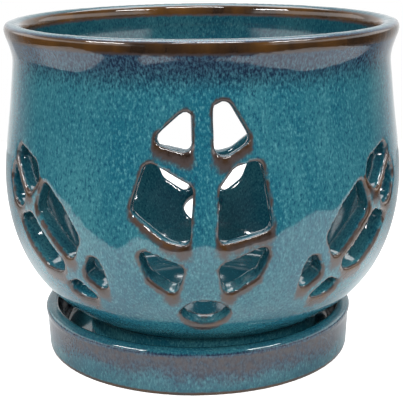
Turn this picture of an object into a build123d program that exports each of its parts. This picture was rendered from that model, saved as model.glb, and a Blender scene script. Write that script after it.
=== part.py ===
"""Glazed stoneware orchid pot with cut slots, standing in its own loose saucer."""
import os
from math import atan2, cos, degrees, radians, sin

from build123d import *

# Sizes are millimetres and degrees. The pot's axis is Z, the table is Z = 0 and the front faces -Y.

# Pot, stacked upwards from the saucer's floor
foot_radius = 47.5
foot_height = 10.5
foot_width = 8.0
foot_taper = 1.5
foot_round = 0.8
foot_flare = (2.0, 0.9)
belly_radius = 79.0
hip_inset = 11.8
hip_rise = 16.0
belly_rise = 38.0
shoulder_inset = 2.8
shoulder_rise = 28.0
neck_inset = 4.9
neck_rise = 18.5
rim_flare = 2.2
rim_rise = 11.4
rim_slope = (0.36, 1.0)
lip_radius = 3.6
wall = 6.5
floor_rise = 2.5
floor_thickness = 7.0
drain_radius = 8.0
drain_round = 1.5

# Saucer, sized round the pot's foot
moat_width = 8.3
saucer_flare = 2.5
saucer_wall = 5.0
saucer_taper = 1.3
saucer_bead = 0.6
saucer_depth = 13.0
saucer_floor = 5.5
saucer_corner = 3.0
saucer_ring_width = 9.0
saucer_recess = 1.5
saucer_edge_round = 0.8
saucer_offset = -2.4

# Slots: outlines are drawn on a square grid, across and up from the middle of their group
slot_margin = 4.4
slot_corner = 2.2
upright_outlines = [
    [(-3.6, 42.0), (-3.6, 24.6), (-18.5, 28.7)],
    [(4.0, 42.5), (9.3, 42.5), (17.0, 29.0), (8.0, 23.6), (4.0, 25.0)],
    [(-19.8, 22.5), (-3.5, 13.6), (-4.8, -7.4), (-13.5, -5.2), (-25.8, 4.8)],
    [(20.6, 22.5), (11.5, 20.2), (6.0, 13.0), (5.3, -7.0), (24.6, -1.9)],
    [(-24.2, -8.0), (-6.2, -15.6), (-10.5, -28.5), (-19.8, -20.3)],
    [(25.0, -6.8), (5.3, -15.2), (8.3, -28.3), (19.8, -20.0)],
]
leaning_outlines = [
    [(1.6, 16.6), (1.6, 34.5), (7.0, 35.0), (13.4, 23.0), (11.6, 16.6)],
    [(-1.7, 16.8), (-1.7, 33.5), (-8.6, 31.0), (-11.6, 22.0), (-8.8, 17.0)],
    [(1.9, 10.0), (13.8, 15.0), (15.6, 1.0), (13.8, -10.5), (2.4, -14.5)],
    [(-2.2, 10.5), (-2.2, -13.5), (-8.5, -13.0), (-14.0, -7.0), (-14.8, 5.0), (-12.7, 15.0)],
    [(2.4, -20.3), (14.2, -16.5), (11.6, -24.0), (4.2, -33.0)],
    [(-12.5, -17.2), (-3.6, -19.8), (-2.0, -34.0), (-10.5, -24.5)],
]
lens_points = [(-8.3, -37.2), (0.5, -30.3), (9.3, -36.6), (0.5, -43.8)]
leaning_azimuth = 46.6
leaning_drop = 9.2
leaning_angle = 42.5

# Heights worked out from the stack
saucer_height = saucer_floor + saucer_depth
foot_z = saucer_floor
crease_z = foot_z + foot_height
floor_z = crease_z + floor_rise
recess_z = floor_z - floor_thickness
hip_z = crease_z + hip_rise
belly_z = hip_z + belly_rise
shoulder_z = belly_z + shoulder_rise
neck_z = shoulder_z + neck_rise
rim_z = neck_z + rim_rise

# Radii worked out from the belly and the foot
hip_radius = belly_radius - hip_inset
shoulder_radius = belly_radius - shoulder_inset
neck_radius = belly_radius - neck_inset
rim_radius = neck_radius + rim_flare
saucer_floor_radius = foot_radius + moat_width
saucer_mouth_radius = saucer_floor_radius + saucer_flare
saucer_radius = saucer_mouth_radius + saucer_wall
saucer_base_radius = saucer_radius - saucer_taper
saucer_neck_radius = saucer_radius - saucer_bead
saucer_bead_height = 0.6 * saucer_wall
saucer_outer_round = 0.52 * saucer_wall
saucer_inner_round = 0.4 * saucer_wall

# Outer wall of the pot, from the crease above its foot to its lip
crease = (foot_radius - foot_taper, crease_z)
hip = (hip_radius, hip_z)
belly = (belly_radius, belly_z)
neck = (neck_radius, neck_z)
rim = (rim_radius, rim_z)
with BuildLine() as outer_wall:
    Spline(crease, hip, belly, (shoulder_radius, shoulder_z), neck, rim, tangents=(foot_flare, rim_slope))
outer_line = outer_wall.edges()[0]
belly_length = outer_line.trim(crease, belly).length
neck_length = outer_line.trim(crease, neck).length

# One square of the slot grid, so that the upright group ends below the neck
upright_top = max(y for outline in upright_outlines for x, y in outline)
slot_grid = (neck_length - belly_length - slot_margin) / upright_top


def wall_plane(azimuth, across, up, turn):
    """Plane on the outer wall, across and up from its widest circle at an azimuth, turned in the surface."""
    place = belly_length + up
    point = outer_line.position_at(place, position_mode=PositionMode.LENGTH)
    slope = outer_line.tangent_at(place, position_mode=PositionMode.LENGTH)
    angle = radians(azimuth) + across / point.X
    outward = Vector(sin(angle), -cos(angle), 0)
    sideways = Vector(cos(angle), sin(angle), 0)
    upward = outward * slope.X + Vector(0, 0, slope.Y)
    normal = outward * slope.Y - Vector(0, 0, slope.X)
    origin = outward * point.X + Vector(0, 0, point.Y)
    return Plane(origin, x_dir=sideways * cos(radians(turn)) + upward * sin(radians(turn)), z_dir=normal)


def placed_slot(outline, azimuth, drop, turn):
    """Plane at the middle of a slot outline of a turned group, and the outline about that middle."""
    points = [Vector(x, y) * slot_grid for x, y in outline]
    middle = sum(points, Vector()) / len(points)
    place = middle.rotate(Axis.Z, turn)
    plane = wall_plane(azimuth, place.X, place.Y - drop, turn)
    return plane, [point - middle for point in points]


# The upright group with a leaning one on each side of it, on the front and again on the back
slots = []
lenses = []
for facing in (0, 180):
    slots += [placed_slot(outline, facing, 0, 0) for outline in upright_outlines]
    lenses.append(placed_slot(lens_points, facing, 0, 0))
    for side in (-1, 1):
        for outline in leaning_outlines:
            mirrored = [(-side * x, y) for x, y in outline]
            azimuth = facing + side * leaning_azimuth
            slots.append(placed_slot(mirrored, azimuth, leaning_drop, -side * leaning_angle))

# Pot: one thrown body of even wall, with a rolled lip, a foot ring and a drain hole
floor_edge = (foot_radius - wall, floor_z)
hip_slope = outer_line.tangent_at(outer_line.param_at_point(hip))
rim_lean = degrees(atan2(*rim_slope))
with BuildPart() as pot:
    with BuildSketch(Plane.XZ):
        with BuildLine():
            add(outer_line)
            lip = JernArc(rim, rim_slope, lip_radius, 180 + rim_lean)
            Spline(
                floor_edge,
                (hip_radius - wall * hip_slope.Y, hip_z + wall * hip_slope.X),
                (belly_radius - wall, belly_z),
                (shoulder_radius - wall, shoulder_z),
                (neck_radius - wall, neck_z),
                lip @ 1,
                tangents=((1, 0), (0, 1)),
            )
            Polyline(
                floor_edge,
                (0, floor_z),
                (0, recess_z),
                (foot_radius - foot_width, recess_z),
                (foot_radius - foot_width, foot_z),
                (foot_radius, foot_z),
                crease,
            )
        make_face()
    revolve(axis=Axis.Z)
    foot_edges = pot.edges().filter_by(GeomType.CIRCLE).group_by(Axis.Z)[0]
    fillet(foot_edges, foot_round)
    with Locations((0, 0, floor_z)):
        Hole(drain_radius, depth=floor_thickness)
    drain_edges = pot.faces().filter_by(GeomType.CYLINDER).sort_by(SortBy.RADIUS)[0].edges()
    fillet(drain_edges.filter_by(GeomType.CIRCLE), drain_round)
    for plane, outline in slots:
        with BuildSketch(plane) as slot:
            with BuildLine():
                Polyline(*outline, close=True)
            make_face()
            fillet(slot.vertices(), slot_corner)
    for plane, (left, top, right, bottom) in lenses:
        with BuildSketch(plane) as lens:
            with BuildLine():
                ThreePointArc(left, top, right)
                ThreePointArc(right, bottom, left)
            make_face()
            fillet(lens.vertices(), slot_corner)
    extrude(amount=2 * wall, both=True, mode=Mode.SUBTRACT)
pot.part.label = "pot"

# Saucer: a straight-sided dish with a rolled rim, a little proud of its side, and a shallow ring to stand on
saucer_middle = (saucer_offset, 0, 0)
saucer_plane = Plane(saucer_middle, x_dir=(1, 0, 0), z_dir=(0, -1, 0))
saucer_ring_radius = saucer_base_radius - saucer_ring_width
with BuildPart() as saucer:
    with BuildSketch(saucer_plane) as section:
        with BuildLine():
            Polyline(
                (0, saucer_recess),
                (saucer_ring_radius, saucer_recess),
                (saucer_ring_radius, 0),
                (saucer_base_radius, 0),
                (saucer_neck_radius, saucer_height - saucer_bead_height),
                (saucer_radius, saucer_height - saucer_bead_height),
                (saucer_radius, saucer_height),
                (saucer_mouth_radius, saucer_height),
                (saucer_floor_radius, saucer_floor),
                (0, saucer_floor),
                close=True,
            )
        make_face()
        rim_vertices = section.vertices().group_by(Axis.Y)[-1].sort_by(Axis.X)
        fillet(rim_vertices[-1], saucer_outer_round)
        fillet(rim_vertices[0], saucer_inner_round)
        fillet(section.vertices().group_by(Axis.Y)[0], saucer_edge_round)
        floor_corner = section.vertices().sort_by_distance((saucer_floor_radius, saucer_floor, 0))[0]
        fillet(floor_corner, saucer_corner)
    revolve(axis=Axis(saucer_middle, (0, 0, 1)))
saucer.part.label = "saucer"

os.makedirs("parts", exist_ok=True)
export_step(pot.part, "parts/pot.step")
export_step(saucer.part, "parts/saucer.step")
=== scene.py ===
from math import radians

import bpy
from mathutils import Euler, Matrix, Vector
from mathutils.kdtree import KDTree


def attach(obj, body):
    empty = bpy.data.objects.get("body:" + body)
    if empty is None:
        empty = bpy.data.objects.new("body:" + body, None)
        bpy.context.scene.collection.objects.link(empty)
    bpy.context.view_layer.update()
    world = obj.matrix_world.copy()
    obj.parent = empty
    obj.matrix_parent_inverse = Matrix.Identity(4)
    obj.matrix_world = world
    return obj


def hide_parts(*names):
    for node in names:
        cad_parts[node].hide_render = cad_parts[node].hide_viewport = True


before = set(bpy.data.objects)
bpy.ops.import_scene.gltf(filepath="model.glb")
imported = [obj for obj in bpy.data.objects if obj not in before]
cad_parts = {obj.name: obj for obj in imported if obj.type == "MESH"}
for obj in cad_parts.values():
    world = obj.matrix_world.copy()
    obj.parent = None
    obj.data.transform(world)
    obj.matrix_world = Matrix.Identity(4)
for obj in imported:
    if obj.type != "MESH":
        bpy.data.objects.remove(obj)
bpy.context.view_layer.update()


# Pot: one thrown stoneware body with a rolled lip, a foot ring and a drain hole, loose in its saucer.
# Its slots were cut by hand in leather-hard clay and their edges wiped round with a wet sponge,
# so each cut edge of the solid is softened here before the glaze goes on.
def merged_copy(node, name):
    """Copy of a solid with its loose triangles joined, alone in the selection."""
    seam = 0.00001
    piece = bpy.data.objects.new(name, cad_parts[node].data.copy())
    bpy.context.scene.collection.objects.link(piece)
    bpy.ops.object.select_all(action="DESELECT")
    piece.select_set(True)
    bpy.context.view_layer.objects.active = piece
    piece.data.materials.clear()
    # A new skin would take the stored normals over onto the wrong facets
    bpy.ops.mesh.customdata_custom_splitnormals_clear()
    bpy.ops.object.mode_set(mode="EDIT")
    bpy.ops.mesh.select_all(action="SELECT")
    bpy.ops.mesh.remove_doubles(threshold=seam)
    bpy.ops.mesh.select_all(action="DESELECT")
    bpy.ops.object.mode_set(mode="OBJECT")
    return piece


def wipe_round(piece, strokes, facet):
    """Rebuild the active piece as one fine skin, wipe its edges round and lay even facets over it."""
    clay_grain = 0.0006
    last_strokes = 3
    for grain, passes in ((clay_grain, strokes), (facet, last_strokes)):
        piece.data.remesh_voxel_size = grain
        bpy.ops.object.voxel_remesh()
        bpy.ops.object.modifier_add(type="SMOOTH")
        piece.modifiers["Smooth"].factor = 0.5
        piece.modifiers["Smooth"].iterations = passes
        bpy.ops.object.modifier_apply(modifier="Smooth")
    bpy.ops.object.shade_smooth()


# The outer edges of the slots are noted as points before they are wiped round
pot = merged_copy("pot", "glazed_pot")
slot_bottom, slot_top = 0.022, 0.116
sharp_edge = radians(40)
outward_facing = 0.4
across_wall = 0.003
arris_spacing = 0.0014
bpy.ops.object.mode_set(mode="EDIT")
bpy.ops.mesh.edges_select_sharp(sharpness=sharp_edge)
bpy.ops.object.mode_set(mode="OBJECT")
outer_skin = set()
for face in pot.data.polygons:
    if face.normal.xy.dot(face.center.xy.normalized()) > outward_facing:
        outer_skin.update(face.vertices)
arris_points = []
arris_levels = []
for edge in pot.data.edges:
    if edge.select and outer_skin.issuperset(edge.vertices):
        start, end = (pot.data.vertices[i].co for i in edge.vertices)
        along_cut = abs(end.xy.length - start.xy.length) < across_wall
        if along_cut and slot_bottom < start.z < slot_top:
            steps = max(1, round((end - start).length / arris_spacing))
            arris_points += [start.lerp(end, i / steps) for i in range(steps)]
            arris_levels += [1 - abs((end - start).normalized().z)] * steps
arrises = KDTree(len(arris_points))
for i, point in enumerate(arris_points):
    arrises.insert(point, i)
arrises.balance()

wipe_round(pot, strokes=22, facet=0.0014)

# The melt pooled in the crease above the foot and filled it a little
crease_bottom, crease_top = 0.0125, 0.0215
crease_inside = 0.043
crease_strokes = 12
crease = pot.vertex_groups.new(name="crease")
for vertex in pot.data.vertices:
    if crease_bottom < vertex.co.z < crease_top and vertex.co.xy.length > crease_inside:
        crease.add([vertex.index], 1.0, "REPLACE")
bpy.ops.object.modifier_add(type="SMOOTH")
pot.modifiers["Smooth"].vertex_group = "crease"
pot.modifiers["Smooth"].iterations = crease_strokes
bpy.ops.object.modifier_apply(modifier="Smooth")

# The lip was pressed outwards a little by hand, and flat on top
lip_bottom, lip_top = 0.1240, 0.1326
lip_crest, lip_shoulder = 0.0729, 0.0015
lip_press = 0.0015
for vertex in pot.data.vertices:
    radius = vertex.co.xy.length
    if vertex.co.z > lip_bottom and radius > lip_crest:
        rise = (vertex.co.z - lip_bottom) / (lip_top - lip_bottom)
        push = lip_press * rise ** 3 * min(1, (radius - lip_crest) / lip_shoulder)
        vertex.co.xy *= 1 + push / radius


def between(value, low, high):
    """Share of the way from low to high that a value has come, from 0 to 1."""
    return min(1, max(0, (value - low) / (high - low)))


# The melt runs down off every cut edge, so it is thin for a short way beside an edge and further below it
thin_beside, thin_below = 0.0016, 0.0085
inside_from, inside_to = 0.6, 0.1
running_from, running_to = 0.4, 0.65
touching = 1e-6
thin_glaze = pot.data.attributes.new("thin_glaze", "FLOAT", "POINT")
# How far a point faces inwards: on the pot it sets the painted shade inside, on the slot walls and on the
# lip's top, and it keeps the second coat to the outside
inner_side = pot.data.attributes.new("inner_side", "FLOAT", "POINT")
for vertex in pot.data.vertices:
    facing = vertex.normal.xy.dot(vertex.co.xy.normalized())
    inner_side.data[vertex.index].value = between(facing, inside_from, inside_to)
    running = (thin_below - thin_beside) * between(facing, running_from, running_to)
    thin = 0.0
    for point, i, distance in arrises.find_range(vertex.co, thin_below):
        below = max(0.0, (point.z - vertex.co.z) / max(distance, touching)) * arris_levels[i]
        thin = max(thin, 1 - distance / (thin_beside + running * below))
    thin_glaze.data[vertex.index].value = thin


def add_node(tree, kind, **settings):
    """New node with its properties and, by name, its unlinked inputs set."""
    node = tree.nodes.new(kind)
    inputs = settings.pop("inputs", {})
    for setting, value in settings.items():
        setattr(node, setting, value)
    for socket, value in inputs.items():
        node.inputs[socket].default_value = value
    return node


def mixed_colour(tree, factor, first, second, blend="MIX"):
    """Output of a colour mix; each colour is a socket or a fixed colour."""
    mix = add_node(tree, "ShaderNodeMix", data_type="RGBA", blend_type=blend)
    tree.links.new(factor, mix.inputs["Factor"])
    # A mix node has sockets of one name for every kind of data, so its colours go by number
    for socket, colour in ((mix.inputs[6], first), (mix.inputs[7], second)):
        if isinstance(colour, bpy.types.NodeSocket):
            tree.links.new(colour, socket)
        else:
            socket.default_value = (*colour, 1)
    return mix.outputs[2]


def stepped(tree, value, low, high, out_low=0.0, out_high=1.0):
    """Output that goes smoothly from one number to another while a value goes from low to high."""
    ramp = add_node(tree, "ShaderNodeMapRange", interpolation_type="SMOOTHSTEP")
    tree.links.new(value, ramp.inputs["Value"])
    numbers = {"From Min": low, "From Max": high, "To Min": out_low, "To Max": out_high}
    for socket, number in numbers.items():
        ramp.inputs[socket].default_value = number
    return ramp.outputs["Result"]


def sums(tree, operation, first, second):
    """Output of a sum, product or other step on two values; each is a socket or a number."""
    step = add_node(tree, "ShaderNodeMath", operation=operation)
    for number, value in enumerate((first, second)):
        if isinstance(value, bpy.types.NodeSocket):
            tree.links.new(value, step.inputs[number])
        else:
            step.inputs[number].default_value = value
    return step.outputs["Value"]


def speckle(tree, stretch, scale, detail, seed):
    """Output of a noise on object coordinates, drawn out along Z by a stretch below 1, moved by a seed."""
    place = add_node(tree, "ShaderNodeTexCoord")
    mapping = add_node(tree, "ShaderNodeMapping")
    mapping.inputs["Scale"].default_value = (1, 1, stretch)
    mapping.inputs["Location"].default_value = (seed, seed * 0.7, seed * 1.3)
    noise = add_node(tree, "ShaderNodeTexNoise", inputs={"Scale": scale, "Detail": detail, "Roughness": 0.6})
    tree.links.new(place.outputs["Object"], mapping.inputs["Vector"])
    tree.links.new(mapping.outputs["Vector"], noise.inputs["Vector"])
    return noise.outputs["Fac"]


def varied(tree, value, noise, amount):
    """Output of a value made ragged by a noise about its middle."""
    swing = sums(tree, "MULTIPLY", sums(tree, "SUBTRACT", noise, 0.5), amount)
    return sums(tree, "ADD", value, swing)


# Reactive glaze: turquoise with light and dark flecks, deep blue where a second coat floated on it,
# multiplied darker by a tint for painted shade on the pot and a darker tone on the saucer, and slate to rust
# where it ran thin over the clay.
deep_turquoise, pale_turquoise = (0.012, 0.125, 0.178), (0.042, 0.195, 0.235)
light_fleck, dark_fleck = (0.095, 0.300, 0.340), (0.008, 0.068, 0.125)
navy, hazy_blue = (0.010, 0.020, 0.052), (0.045, 0.105, 0.160)
shade_and_tone_tint = (0.40, 0.44, 0.46)
slate = (0.066, 0.050, 0.047)
dark_rust, chestnut = (0.020, 0.012, 0.008), (0.105, 0.046, 0.011)
smoothest, roughest = 0.05, 0.11
reactive_glaze = bpy.data.node_groups.new("reactive_glaze", "ShaderNodeTree")
for socket in ("Thin", "Floated", "Shade_and_tone"):
    reactive_glaze.interface.new_socket(socket, in_out="INPUT", socket_type="NodeSocketFloat")
reactive_glaze.interface.new_socket("Colour", in_out="OUTPUT", socket_type="NodeSocketColor")
reactive_glaze.interface.new_socket("Roughness", in_out="OUTPUT", socket_type="NodeSocketFloat")
reactive_glaze.interface.new_socket("Relief", in_out="OUTPUT", socket_type="NodeSocketFloat")
tree = reactive_glaze
glaze_in = tree.nodes.new("NodeGroupInput")
glaze_out = tree.nodes.new("NodeGroupOutput")
streaks = speckle(tree, stretch=0.5, scale=1500, detail=2, seed=0.0)
clouds = speckle(tree, stretch=0.35, scale=45, detail=4, seed=0.31)
blisters = speckle(tree, stretch=1.0, scale=420, detail=2, seed=0.57)
waves = speckle(tree, stretch=0.7, scale=70, detail=1, seed=0.83)

drifts = stepped(tree, clouds, 0.3, 0.7)
turquoise = mixed_colour(tree, drifts, deep_turquoise, pale_turquoise)
lightened = mixed_colour(tree, stepped(tree, streaks, 0.50, 0.78), turquoise, light_fleck)
flecked = mixed_colour(tree, stepped(tree, streaks, 0.51, 0.26), lightened, dark_fleck)
blue = mixed_colour(tree, stepped(tree, streaks, 0.35, 0.65), navy, hazy_blue)
ragged = varied(tree, glaze_in.outputs["Floated"], streaks, -0.75)
floated = mixed_colour(tree, stepped(tree, ragged, 0.25, 0.95), flecked, blue)
# Painted shade on the pot and a darker tone on the saucer: the colour is multiplied by the tint as far as
# this input says
shaded_and_toned = mixed_colour(tree, glaze_in.outputs["Shade_and_tone"], floated, shade_and_tone_tint, "MULTIPLY")
worn = varied(tree, glaze_in.outputs["Thin"], blisters, 0.55)
thinned = mixed_colour(tree, stepped(tree, worn, 0.08, 0.55), shaded_and_toned, slate)
rust = mixed_colour(tree, drifts, dark_rust, chestnut)
rusted = mixed_colour(tree, stepped(tree, worn, 0.52, 0.90), thinned, rust)
tree.links.new(rusted, glaze_out.inputs["Colour"])
tree.links.new(stepped(tree, blisters, 0.2, 0.8, smoothest, roughest), glaze_out.inputs["Roughness"])

blister_height, streak_height = 0.05, 0.012
blistered = sums(tree, "MULTIPLY", blisters, blister_height)
ripples = sums(tree, "ADD", blistered, sums(tree, "MULTIPLY", streaks, streak_height))
tree.links.new(sums(tree, "ADD", waves, ripples), glaze_out.inputs["Relief"])


def glazed(name):
    """Material with the reactive glaze on it, with its tree, its glaze node and its height for the masks."""
    material = bpy.data.materials.new(name)
    material.use_nodes = True
    tree = material.node_tree
    shader = tree.nodes["Principled BSDF"]
    shader.inputs["IOR"].default_value = 1.6
    glaze = add_node(tree, "ShaderNodeGroup", node_tree=reactive_glaze)
    relief = add_node(tree, "ShaderNodeBump", inputs={"Strength": 0.32, "Distance": 0.0006})
    tree.links.new(glaze.outputs["Colour"], shader.inputs["Base Color"])
    tree.links.new(glaze.outputs["Roughness"], shader.inputs["Roughness"])
    tree.links.new(glaze.outputs["Relief"], relief.inputs["Height"])
    tree.links.new(relief.outputs["Normal"], shader.inputs["Normal"])
    height = add_node(tree, "ShaderNodeSeparateXYZ")
    tree.links.new(add_node(tree, "ShaderNodeTexCoord").outputs["Object"], height.inputs["Vector"])
    return material, tree, glaze, height.outputs["Z"]


# On the pot, each pair of heights says where a change in the glaze begins and where it is full
lip_browns = (0.1262, 0.1292)
lip_top_clears = (0.1324, 0.1309)
# The low belly gets painted shade, growing from the first height down to the second
belly_shade_grows = (0.062, 0.024)
belly_starts = (0.0155, 0.0180)
belly_shade_depth = 0.35
second_coat_starts = (0.104, 0.130)
# The second coat fades out as the wall turns to its inner side
outside_only = (0.9, 0.3)
pot_glaze, tree, glaze, height = glazed("pot_glaze")
cut_edges = add_node(tree, "ShaderNodeAttribute", attribute_name="thin_glaze").outputs["Fac"]
below_top = stepped(tree, height, *lip_top_clears)
bare_lip = sums(tree, "MULTIPLY", stepped(tree, height, *lip_browns), below_top)
tree.links.new(sums(tree, "MAXIMUM", cut_edges, bare_lip), glaze.inputs["Thin"])
# Painted shade: the inside of the pot, the slot walls and the lip's top are painted darker as far as they
# face inwards
inner = add_node(tree, "ShaderNodeAttribute", attribute_name="inner_side").outputs["Fac"]
# Painted shade on the low belly, darker towards the bottom and stopping at the crease above the foot
low_belly_shade = stepped(tree, height, *belly_shade_grows, 0.0, belly_shade_depth)
painted_low_shade = sums(tree, "MULTIPLY", low_belly_shade, stepped(tree, height, *belly_starts))
tree.links.new(sums(tree, "MAXIMUM", inner, painted_low_shade), glaze.inputs["Shade_and_tone"])
under_lip = stepped(tree, height, *second_coat_starts)
second_coat = sums(tree, "MULTIPLY", under_lip, stepped(tree, inner, *outside_only))
tree.links.new(second_coat, glaze.inputs["Floated"])
pot.data.materials.append(pot_glaze)
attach(pot, "pot")
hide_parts("pot")


# Saucer: a low straight-sided stoneware dish, thrown to go under the pot and loose on the table.
# Its rolled rim holds a thick turquoise coat, which ran thin and purple-brown just under the rim.
side_rises = (0.0005, 0.0120)
rim_clears_brown = (0.0164, 0.0154)
rim_clears_blue = (0.0182, 0.0164)
runs_grow, run_low, run_high = (0.006, 0.017), 0.20, 0.36
bare_foot = (0.0022, 0.0008)
drift_height = 0.012
saucer = merged_copy("saucer", "glazed_saucer")
wipe_round(saucer, strokes=8, facet=0.0009)
saucer_glaze, tree, glaze, height = glazed("saucer_glaze")
drift = varied(tree, height, speckle(tree, stretch=2.0, scale=55, detail=3, seed=0.44), drift_height)
rising = stepped(tree, drift, *side_rises)
under_rim = sums(tree, "MULTIPLY", rising, stepped(tree, height, *rim_clears_brown))
runs = sums(tree, "MULTIPLY", under_rim, stepped(tree, drift, *runs_grow, run_low, run_high))
base_line = stepped(tree, height, *bare_foot)
tree.links.new(sums(tree, "MAXIMUM", runs, base_line), glaze.inputs["Thin"])
blue_side = sums(tree, "MULTIPLY", rising, stepped(tree, height, *rim_clears_blue))
tree.links.new(blue_side, glaze.inputs["Floated"])
# The whole saucer's glaze is multiplied darker by the tint, by a fixed share
glaze.inputs["Shade_and_tone"].default_value = 0.42
saucer.data.materials.append(saucer_glaze)
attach(saucer, "saucer")
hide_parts("saucer")


# Studio: two white cards on the table of a dim room, the big one with a painted shadow behind the pot,
# a light panel on each side, a strip above, a soft box behind and a low fill in front, with a white
# reflector low on each side.
# To the camera alone the cards glow and the room is white, so the picture's ground burns out.
white, shadow_grey = (0.97, 0.97, 0.97), (0.42, 0.42, 0.42)
card_shadow_starts = (0.0, 0.12)
card_glow = 0.9
card_white_and_shadow = bpy.data.materials.new("card_white_and_shadow")
card_white_and_shadow.use_nodes = True
tree = card_white_and_shadow.node_tree
paint = tree.nodes["Principled BSDF"]
paint.inputs["Roughness"].default_value = 0.8
paint.inputs["Emission Color"].default_value = (1, 1, 1, 1)
place = add_node(tree, "ShaderNodeSeparateXYZ")
tree.links.new(add_node(tree, "ShaderNodeTexCoord").outputs["Object"], place.inputs["Vector"])
# Painted shadow: the card turns grey from the pot's middle backwards, standing in for shade on the table
# there
painted_card_shadow = stepped(tree, place.outputs["Y"], *card_shadow_starts)
tree.links.new(mixed_colour(tree, painted_card_shadow, white, shadow_grey), paint.inputs["Base Color"])
seen = add_node(tree, "ShaderNodeLightPath").outputs["Is Camera Ray"]
tree.links.new(sums(tree, "MULTIPLY", seen, card_glow), paint.inputs["Emission Strength"])
bpy.ops.object.select_all(action="DESELECT")
for name, left, right, front, back in (
    ("white_card_with_shadow", -0.40, 0.31, -0.13, 0.40),
    ("front_card", -0.11, 0.30, -0.193, -0.13),
):
    bpy.ops.mesh.primitive_plane_add(size=1, location=((left + right) / 2, (front + back) / 2, 0))
    card = bpy.context.object
    card.name = name
    card.scale = (right - left, back - front, 1)
    bpy.ops.object.transform_apply(location=True, rotation=True, scale=True)
    card.data.materials.append(card_white_and_shadow)

# The front fill lights the part without showing in its gloss
middle = Vector((0, 0, 0.07))
for name, azimuth, elevation, distance, watts, width, depth in (
    ("panel_left", -60, 42, 0.9, 3.2, 0.34, 0.05),
    ("panel_right", 60, 48, 0.9, 2.8, 0.34, 0.05),
    ("strip_above", 8, 74, 0.8, 3, 0.34, 0.05),
    ("box_behind", 180, 66, 0.8, 4.8, 0.70, 0.45),
    ("front_fill", 0, 25, 0.9, 3.8, 0.6, 0.15),
):
    outward = Euler((radians(-elevation), 0, radians(azimuth))).to_matrix() @ Vector((0, -1, 0))
    bpy.ops.object.light_add(type="AREA", location=middle + outward * distance)
    panel = bpy.context.object
    panel.name = name
    panel.rotation_euler = outward.to_track_quat("Z", "Y").to_euler()
    panel.data.shape = "RECTANGLE"
    panel.data.size = width
    panel.data.size_y = depth
    panel.data.energy = watts
    panel.visible_glossy = name != "front_fill"

# The reflectors show only in gloss, and the backdrop lights the part from behind
backdrop_starts, front_level, backdrop_level = (0.3, 1.0), 0.05, 1.0
reflector_starts = (0.5, 0.7)
reflector_foot, reflector_head = (0.08, 0.18), (0.55, 0.40)
reflector_level = 2.0
room = bpy.data.worlds.new("room")
room.use_nodes = True
bpy.context.scene.world = room
tree = room.node_tree
around = add_node(tree, "ShaderNodeTexCoord").outputs["Generated"]
direction = add_node(tree, "ShaderNodeSeparateXYZ")
tree.links.new(around, direction.inputs["Vector"])
backdrop = stepped(tree, direction.outputs["Y"], *backdrop_starts, front_level, backdrop_level)
rays = add_node(tree, "ShaderNodeLightPath").outputs
beside = stepped(tree, sums(tree, "ABSOLUTE", direction.outputs["X"], 0.0), *reflector_starts)
above_foot = stepped(tree, direction.outputs["Z"], *reflector_foot)
upright = sums(tree, "MULTIPLY", above_foot, stepped(tree, direction.outputs["Z"], *reflector_head))
reflectors = sums(tree, "MULTIPLY", sums(tree, "MULTIPLY", beside, upright), reflector_level)
mirrored = sums(tree, "MULTIPLY", reflectors, rays["Is Glossy Ray"])
lit = sums(tree, "MAXIMUM", backdrop, mirrored)
background = tree.nodes["Background"]
background.inputs["Color"].default_value = (1, 1, 1, 1)
tree.links.new(sums(tree, "MAXIMUM", lit, rays["Is Camera Ray"]), background.inputs["Strength"])

# Camera: at the photograph's angle, in front of the pot and a little above its rim,
# tipped down towards it and very slightly to one side.
camera_place = (0, -0.42595, 0.172)
tipped_down, turned, tilted = radians(14.93), radians(0.07), radians(-0.487)
bpy.ops.object.camera_add(location=camera_place)
camera = bpy.context.object
aim = Euler((radians(90) - tipped_down, 0, turned)).to_matrix() @ Matrix.Rotation(tilted, 3, "Z")
camera.rotation_euler = aim.to_euler()
camera.data.sensor_width = 36
camera.data.lens = 95.86
camera.data.clip_start = 0.01
bpy.context.scene.camera = camera
bpy.context.scene.view_settings.view_transform = "Standard"
